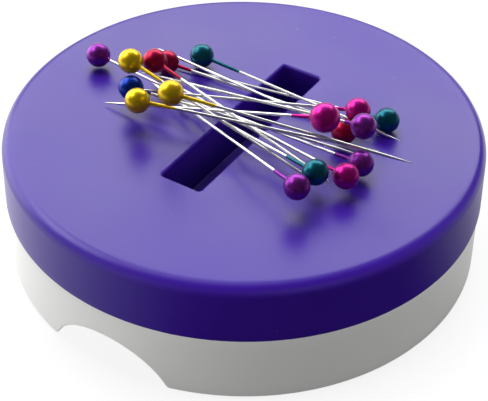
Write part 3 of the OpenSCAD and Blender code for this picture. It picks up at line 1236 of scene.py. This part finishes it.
    def socket(self) -> Shell:
        """Cup for a rubber foot: an outer wall flared into the deck, and a blind hole from below.

        Returns:
            One socket about the Z axis.
        """
        c, low, root, head = self.case, self.socket_low, self.socket_root_r, self.case.deck + self.sunk
        hole_r, r = c.foot_r, c.foot_r + self.socket_wall
        return spun(np.array([
            [0, c.foot_h], [hole_r, c.foot_h], [hole_r, low + 0.2], [hole_r + 0.2, low], [r - 0.3, low],
            [r - 0.08, low + 0.08], [r, low + 0.3], *flare(r, root, c.deck), [r + root, head], [0, head],
        ]), 64)

    def build(self, shop: Workshop) -> None:
        """Makes the ring, the deck, the keeper's posts and the foot sockets.

        Args:
            shop: The workshop that turns shells into pieces.
        """
        shop.piece("base_ring", self.ring(), BASE_WHITE, stands_for=["base_shell"])
        shop.piece("base_deck", self.deck_plate(), BASE_WHITE)
        shop.piece("base_keeper_posts", Shell.joined(self.post().corners(self.posts)), BASE_WHITE)
        shop.piece("base_foot_sockets", Shell.joined(self.socket().corners(self.case.feet)), BASE_WHITE)


@dataclass(frozen=True)
class MagnetStack(Assembly):
    """Two ferrite blocks on foam pads under the cap, and the steel keeper plate beneath them."""

    foam_inset: float = 1.0
    keeper_margin: float = 1.0
    keeper_gap: float = 0.8
    bridge: float = 4.0
    neck_half_x: float = 12.0
    corner_r: float = 2.0

    def slab(self, inset: float, corner: float, bottom: float, top: float, edge_r: float) -> Shell:
        """Block over a magnet's plan, or a little inside it.

        Args:
            inset: How far inside the magnet's plan it lies.
            corner: Radius of its upright corners.
            bottom: Height of its lower face.
            top: Height of its upper face.
            edge_r: Radius of its soft edges.

        Returns:
            The block, over the middle of the table.
        """
        half_w, half_l = self.case.magnet_w / 2 - inset, self.case.magnet_l / 2 - inset
        return SoftBlock(RoundedOutline(half_w, half_l, corner, 6, 12, 20), bottom, top, edge_r).shell()

    def keeper(self) -> Shell:
        """Stamped plate: a cross with round corners and a window that clears the well.

        Returns:
            The closed shell.
        """
        c, well, clear = self.case, self.case.well, self.case.well_wall + self.keeper_gap
        x, y = c.magnet_x + c.magnet_w + self.keeper_margin, c.magnet_l / 2
        nx, ny = self.neck_half_x, well.half_y + clear + self.bridge
        window = RoundedOutline(well.half_x + clear, well.half_y + clear, well.corner + c.well_wall,
                                10, 3, 16)
        cross = np.array([[x, -y], [x, y], [nx, y], [nx, ny], [-nx, ny], [-nx, y],
                          [-x, y], [-x, -y], [-nx, -y], [-nx, -ny], [nx, -ny], [nx, -y]])
        hole = (window.at(0.0)[0][::-1], -window.anchors()[1][::-1])
        return CutPlate(filleted_loop(cross, self.corner_r), [hole], c.magnet_bottom - c.keeper_t,
                        c.magnet_bottom, 0.15).shell()

    def build(self, shop: Workshop) -> None:
        """Makes the ferrite blocks, the foam pads and the keeper.

        Args:
            shop: The workshop that turns shells into pieces.
        """
        c = self.case
        top = c.ceiling - c.foam_t
        block = self.slab(0.0, 0.7, c.magnet_bottom, top, 0.45)
        foam = self.slab(self.foam_inset, 1.2, top, c.ceiling, 0.12)
        for side, name in ((-1, "left"), (1, "right")):
            x = side * (c.magnet_x + c.magnet_w / 2)
            shop.piece(f"ferrite_block_{name}", block.moved(x), FERRITE, stands_for=[f"magnet_{name}"])
            shop.piece(f"foam_pad_{name}", foam.moved(x), FOAM, stands_for=[f"magnet_pad_{name}"])
        shop.piece("keeper_stamping", self.keeper(), KEEPER_STEEL, stands_for=["keeper_plate"])


@dataclass(frozen=True)
class Fasteners(Assembly):
    """The case screws and the rubber feet under the base."""

    core_r: float = 0.98
    pitch: float = 1.1
    head_r: float = 2.6
    head_h: float = 1.8
    slot_half: float = 0.38
    slot_reach: float = 1.3
    slot_depth: float = 0.9
    columns: int = 72
    face_rows: int = 22
    shank_rows: int = 150
    foot_gap: float = 0.03
    sole_r: float = 0.45

    def screw(self) -> Shell:
        """Threaded shank, pan head and cross recess in one grid.

        On the shank the radius is core + (shank - core) ridge, where the ridge is a pointed wave of
        height / pitch - angle / turn. On the head's face the surface sinks where the smaller of |x| and
        |y| is under half the slot's width and the larger under its reach.

        Returns:
            One screw about the Z axis.
        """
        c, half_h, around = self.case, self.head_h / 2, compass(self.columns)
        head_low, face_r = c.deck - self.head_h, self.head_r - half_h
        fr = np.linspace(0.06, face_r - 0.15, self.face_rows)[:, None]
        plan = fr[..., None] * around[None]
        narrow, wide = np.sort(np.abs(plan), -1)[..., 0], np.sort(np.abs(plan), -1)[..., 1]
        sunk = (np.clip((self.slot_half - narrow) / 0.12 + 0.5, 0, 1)
                * np.clip((self.slot_reach - wide) / 0.25, 0, 1))
        face_z = head_low + 0.12 * (fr / face_r) ** 2 + self.slot_depth * sunk
        face = np.concatenate([plan, face_z[..., None]], -1)
        across, up = bend(half_h, 6, -70, 0)
        rim_r = np.concatenate([face_r + across, [self.head_r, self.head_r - 0.1, c.screw_r]])
        rim_z = np.concatenate([head_low + half_h + 0.02 + up, [c.deck - 0.12, c.deck, c.deck]])
        z = np.linspace(0.15, c.screw_l - 0.02, self.shank_rows)[:, None]
        wave = (z / self.pitch - np.arange(self.columns) / self.columns) % 1.0
        ridge = np.clip(1 - np.abs(wave - 0.5) / 0.32, 0, 1)
        taper = np.clip((c.screw_l - z) / 1.4, 0, 1) ** 0.7
        start = np.clip((z - 0.6) / 0.8, 0, 1)
        r = (self.core_r + (c.screw_r - self.core_r) * ridge * start) * np.maximum(taper, 0.04)
        rows = np.concatenate([face, level(rim_r[:, None, None] * around[None], rim_z),
                               level(r[..., None] * around[None], c.deck + z[:, 0])])
        edge = np.concatenate([np.zeros(self.face_rows), np.ones(len(rim_r)), np.zeros(self.shank_rows)])
        return skin(rows, [(0, 0, head_low + self.slot_depth), (0, 0, c.deck + c.screw_l)], edge)

    def rubber_foot(self) -> Shell:
        """Round foot with a dished sole, a soft lower edge and a broken upper edge.

        Returns:
            One foot about the Z axis.
        """
        r, h, soft = self.case.foot_r - self.foot_gap, self.case.foot_h - self.foot_gap, self.sole_r
        across, up = bend(soft, 5, -90, 0)
        dish = np.linspace(0, r - 2 * soft, 8)
        sole = np.stack([dish, 0.14 * np.cos(dish / (r - 2 * soft) * math.pi / 2) ** 2], -1)
        lip = np.stack([r - soft + across, soft + up], -1)
        return spun(np.concatenate([sole, lip, [[r, h - 0.2], [r - 0.2, h], [0, h]]]), 64)

    def build(self, shop: Workshop) -> None:
        """Makes the screws and the feet.

        Args:
            shop: The workshop that turns shells into pieces.
        """
        screws = Shell.joined(self.screw().corners(self.case.screws))
        shop.piece("pan_head_screws", screws, SCREW_STEEL, stands_for=["case_screws"], sharp=60.0)
        for k, foot in enumerate(self.rubber_foot().corners(self.case.feet), 1):
            shop.piece(f"rubber_foot_{k}", foot, RUBBER, stands_for=[f"foot_{k}"])


@dataclass(frozen=True)
class Pin:
    """One pearl-headed pin: its number, lacquer, how far the colour runs down the wire, and its head."""

    number: int
    pearl: Pearl
    coat: float
    head_r: float = 2.6
    wire_r: float = 0.3
    coat_t: float = 0.1
    neck_r: float = 0.45
    length: float = 50.0
    point: float = 5.5

    @property
    def body(self) -> str:
        """The CAD body that the pin rides on."""
        return f"pin_{self.number:02d}"

    def lie(self) -> tuple[np.ndarray, np.ndarray]:
        """Where the pin lies, from the wire's CAD solid.

        The wire's end rings are averaged: the line between their middles is its direction, and the head's
        middle is a quarter of its diameter further on from the ring that is seated in it.

        Returns:
            The head's middle and the unit direction to the point, in millimetres.
        """
        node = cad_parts[f"{self.body}_shaft"]
        flat = np.zeros(len(node.data.vertices) * 3, np.float32)
        node.data.vertices.foreach_get("co", flat)
        co = np.unique(np.round(flat.reshape(-1, 3).astype(float) / MM, 4), axis=0)
        axis = np.linalg.svd(co - co.mean(0), full_matrices=False)[2][0]
        low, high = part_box(f"{self.body}_head")
        head = np.array(low + high) / 2 / MM
        if (head - co.mean(0)) @ axis > 0:
            axis = -axis
        t = co @ axis
        seat, tip = co[t < t.min() + 0.5].mean(0), co[t > t.max() - 0.5].mean(0)
        way = (tip - seat) / np.linalg.norm(tip - seat)
        return seat + way * self.head_r / 2, way

    def wire(self) -> tuple[np.ndarray, np.ndarray]:
        """Profile of the drawn wire, whose radius falls to the point as the root of what is left.

        Returns:
            The profile's rows, and for each row 1 on the drawn point and 0 on the rest.
        """
        r, seat = self.wire_r, -self.head_r / 2
        run = np.linspace(seat + 0.05, self.length - self.point, 14)
        left = np.linspace(1, 0, 16)[1:-1]
        taper = np.stack([r * left ** 0.62, self.length - self.point * left], -1)
        barrel = np.concatenate([[[0, seat], [r * 0.8, seat]], np.stack([np.full(len(run), r), run], -1)])
        edge = np.repeat([0.0, 1.0], [len(barrel), len(taper) + 1])
        return np.concatenate([barrel, taper, [[0, self.length]]]), edge

    def pearl_head(self) -> np.ndarray:
        """Profile of the head: a circle, a small hollow fillet, and the lacquer thinning down the wire.

        The fillet's circle touches the ball and the coat, so its middle is neck_r off the coat's side.

        Returns:
            The profile's rows.
        """
        big, neck, out = self.head_r, self.neck_r, self.wire_r + self.coat_t + self.neck_r
        along = math.sqrt((big + neck) ** 2 - out ** 2)
        meet = math.atan2(out, along)
        ball = np.linspace(math.pi, meet, 30)
        ball_rows = np.stack([big * np.sin(ball), big * np.cos(ball)], -1)
        ball_rows[0, 0] = 0.0
        turn = np.linspace(meet - math.pi, -math.pi / 2, 6)[1:]
        fillet = np.stack([out + neck * np.sin(turn), along + neck * np.cos(turn)], -1)
        end = max(self.coat, along + 0.4)
        run = np.linspace(along, end, 12)[1:]
        thin = self.wire_r + self.coat_t * (1 - ((run - along) / (end - along)) ** 2 * 0.85)
        return np.concatenate([ball_rows, fillet, np.stack([thin, run], -1),
                               [[self.wire_r * 0.9, end + 0.05], [0, end + 0.05]]])

    def build(self, shop: Workshop) -> None:
        """Makes the wire and the head, each riding on the pin's own body.

        Args:
            shop: The workshop that turns shells into pieces.
        """
        head, way = self.lie()
        profile, edge = self.wire()
        wire, pearl = along_wire(profile, head, way, 20, edge), along_wire(self.pearl_head(), head, way, 40)
        shop.piece(f"{self.body}_wire", wire, PIN_STEEL, self.body, [f"{self.body}_shaft"])
        shop.piece(f"{self.body}_pearl", pearl, PEARLS[self.pearl], self.body, [f"{self.body}_head"])


PINS: tuple[Pin, ...] = (
    Pin(1, Pearl.VIOLET, 3.4), Pin(2, Pearl.YELLOW, 8.5), Pin(3, Pearl.CRIMSON, 8.0),
    Pin(4, Pearl.CRIMSON, 6.0), Pin(5, Pearl.TEAL, 10.0), Pin(6, Pearl.BLUE, 4.5),
    Pin(7, Pearl.YELLOW, 8.0), Pin(8, Pearl.YELLOW, 9.5), Pin(9, Pearl.MAGENTA, 7.0, 3.0),
    Pin(10, Pearl.MAGENTA, 5.0), Pin(11, Pearl.CRIMSON, 6.0), Pin(12, Pearl.VIOLET, 4.0),
    Pin(13, Pearl.TEAL, 5.0), Pin(14, Pearl.VIOLET, 6.0), Pin(15, Pearl.MAGENTA, 5.0),
    Pin(16, Pearl.TEAL, 8.0), Pin(17, Pearl.VIOLET, 7.0),
)


# Floor, lights and camera


def outlook(azimuth: float, elevation: float) -> Vector:
    """Unit vector from the object towards an azimuth and elevation in degrees."""
    a, e = math.radians(azimuth), math.radians(elevation)
    return Vector((math.sin(a) * math.cos(e), -math.cos(a) * math.cos(e), math.sin(e)))


@dataclass(frozen=True)
class Softbox:
    """An area light: where it hangs, its size and its power, in metres and watts.

    A card that only shows as a sheen in glossy surfaces has diffuse off, and a fill that leaves no
    highlight has glossy off.
    """

    name: str
    azimuth: float
    elevation: float
    distance: float
    width: float
    height: float
    power: float
    diffuse: bool = True
    glossy: bool = True

    def hang(self, aim: Vector) -> None:
        """Puts the light in the scene.

        Args:
            aim: Point that it faces, in metres.
        """
        data = bpy.data.lights.new(self.name, "AREA")
        data.shape = "RECTANGLE"
        data.size, data.size_y, data.energy = self.width, self.height, self.power
        light = bpy.data.objects.new(self.name, data)
        way = outlook(self.azimuth, self.elevation)
        light.location = aim + way * self.distance
        light.rotation_mode = "QUATERNION"
        light.rotation_quaternion = (-way).to_track_quat("-Z", "Y")
        light.visible_camera = False
        light.visible_diffuse, light.visible_glossy = self.diffuse, self.glossy
        bpy.context.scene.collection.objects.link(light)


@dataclass(frozen=True)
class Studio:
    """Plain pale floor, soft studio light and the camera at the photograph's viewing angle.

    The camera's numbers come from fitting the rim, the seam, the foot line and the well's corners.
    """

    azimuth: float = 32.3
    elevation: float = 39.614
    roll: float = 0.751
    distance: float = 294.68
    aim_x: float = 0.129
    aim_z: float = 8.03
    lens: float = 100.81
    sensor: float = 36.0
    floor_r: float = 3000.0
    floor_columns: int = 64
    window_azimuth: float = 232.0
    # painted light: how brightly the floor glows towards the window, for every ray but the camera's
    painted_window_light: float = 1.55
    paper_glow: float = 0.85
    light_aim_z: float = 15.0
    boxes: tuple[Softbox, ...] = (
        Softbox("sheen_card", 211.0, 38.5, 0.9, 1.3, 0.5, 8.3, diffuse=False),
        Softbox("window_low", 270.0, 12.0, 0.9, 0.7, 0.45, 3.4, diffuse=False),
        Softbox("window_card", 280.0, 46.0, 0.9, 0.55, 0.40, 3.4, diffuse=False),
        Softbox("softbox_top", 235.0, 74.0, 0.9, 0.6, 0.6, 9.6, glossy=False),
        Softbox("softbox_left", 307.0, 14.0, 1.0, 0.8, 0.5, 4.3, glossy=False),
        Softbox("softbox_right", 138.0, 14.0, 1.0, 0.8, 0.5, 4.2, glossy=False),
        Softbox("fill_front", 60.0, 20.0, 1.0, 0.8, 0.6, 2.5, glossy=False),
        Softbox("fill_left", 346.0, 12.0, 1.0, 0.6, 0.5, 2.0, glossy=False),
    )

    def camera(self) -> None:
        """Hangs the camera: it looks along -back, and its up axis is turned by the roll."""
        data = bpy.data.cameras.new("photo_camera")
        data.sensor_width, data.lens = self.sensor, self.lens
        data.clip_start, data.clip_end = 0.01, 20.0
        cam = bpy.data.objects.new("photo_camera", data)
        a, roll = math.radians(self.azimuth), math.radians(self.roll)
        right, back = Vector((math.cos(a), math.sin(a), 0)), outlook(self.azimuth, self.elevation)
        up = back.cross(right)
        across = right * math.cos(roll) + up * math.sin(roll)
        upward = -right * math.sin(roll) + up * math.cos(roll)
        aim = right * self.aim_x * MM + Vector((0, 0, self.aim_z * MM))
        turn = Matrix((across, upward, back)).transposed()
        cam.matrix_world = Matrix.Translation(aim + back * self.distance * MM) @ turn.to_4x4()
        bpy.context.scene.collection.objects.link(cam)
        bpy.context.scene.camera = cam

    def floor(self) -> None:
        """Lays the floor: rings of points on z = 0, each half as wide again as the last."""
        m, radii = self.floor_columns, np.geomspace(60, self.floor_r, 10)
        ring = level(radii[:, None, None] * compass(m)[None], 0.0).reshape(-1, 3)
        points = np.concatenate([np.zeros((1, 3)), ring]) * MM
        quads = grid(len(radii), m)[:, [0, 3, 2, 1]] + 1
        near = np.arange(m)
        fan = np.stack([np.zeros(m, int), 1 + near, 1 + (near + 1) % m], -1)
        mesh = bpy.data.meshes.new("studio_floor")
        mesh.from_pydata(points.tolist(), [], quads.tolist() + fan.tolist())
        mesh.update()
        floor = bpy.data.objects.new("studio_floor", mesh)
        bpy.context.scene.collection.objects.link(floor)
        mesh.materials.append(self._paper())

    def _paper(self) -> bpy.types.Material:
        """Matt white paper with a faint mottle.

        The camera sees it evenly bright. For every other ray it is nearly black and glows instead, with
        painted light and painted shade:
        bright towards a window behind on the left, and dark in front where the object's own shadow falls.

        Returns:
            The material.
        """
        made = bpy.data.materials.new("studio_paper")
        g = Graph.of(made)
        place = g.add("ShaderNodeTexCoord").outputs["Object"]
        seen = g.add("ShaderNodeLightPath").outputs["Is Camera Ray"]
        mottle = g.mix(g.noise(place, 8.0, 3.0), rgba((0.14, 0.14, 0.14)), rgba((0.16, 0.16, 0.16)))
        shaded = g.mix(seen, rgba((0.02, 0.02, 0.02)), mottle)
        paper = g.add("ShaderNodeBsdfDiffuse", {"Color": shaded}).outputs[0]
        # Painted light and shade: for all but camera rays the floor glows brightest towards the window and
        # dark in front, where the object's shadow falls.
        way = g.add("ShaderNodeVectorMath", {0: place}, operation="NORMALIZE").outputs[0]
        towards = g.add("ShaderNodeVectorMath", {0: way, 1: outlook(self.window_azimuth, 0.0)},
                        operation="DOT_PRODUCT")
        painted_light_and_shade = g.ramp(towards.outputs["Value"], -0.8, 0.5, 0.0, self.painted_window_light)
        strength = g.maths("ADD", g.maths("MULTIPLY", seen, self.paper_glow),
                           g.maths("MULTIPLY", g.maths("SUBTRACT", 1.0, seen), painted_light_and_shade))
        glow = g.add("ShaderNodeEmission", {"Strength": strength})
        lit = g.add("ShaderNodeAddShader", {0: paper, 1: glow.outputs[0]}).outputs[0]
        g.add("ShaderNodeOutputMaterial", {"Surface": lit})
        return made

    def world(self) -> None:
        """Pale surroundings: white to the camera, and dimmer as light on the object."""
        world = bpy.data.worlds.new("studio_world")
        g = Graph.of(world)
        seen = g.add("ShaderNodeLightPath").outputs["Is Camera Ray"]
        tone = g.mix(seen, rgba((0.05, 0.05, 0.055)), rgba((1.0, 1.0, 1.0)))
        sky = g.add("ShaderNodeBackground", {"Color": tone}).outputs[0]
        g.add("ShaderNodeOutputWorld", {"Surface": sky})
        bpy.context.scene.world = world

    def build(self) -> None:
        """Makes the whole studio."""
        bpy.context.scene.view_settings.view_transform = "Standard"
        self.world()
        self.floor()
        for softbox in self.boxes:
            softbox.hang(Vector((0, 0, self.light_aim_z * MM)))
        self.camera()


def main() -> None:
    """Builds the studio and every sub-assembly in order, and reports the pieces."""
    logging.basicConfig(level=logging.INFO, format="%(message)s")
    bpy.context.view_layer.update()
    Studio().build()
    shop = Workshop()
    for part in (Cap(), Base(), MagnetStack(), Fasteners(), *PINS):
        part.build(shop)
    LOG.info("%d pieces made", len(shop.made))


if __name__ == "__main__":
    main()
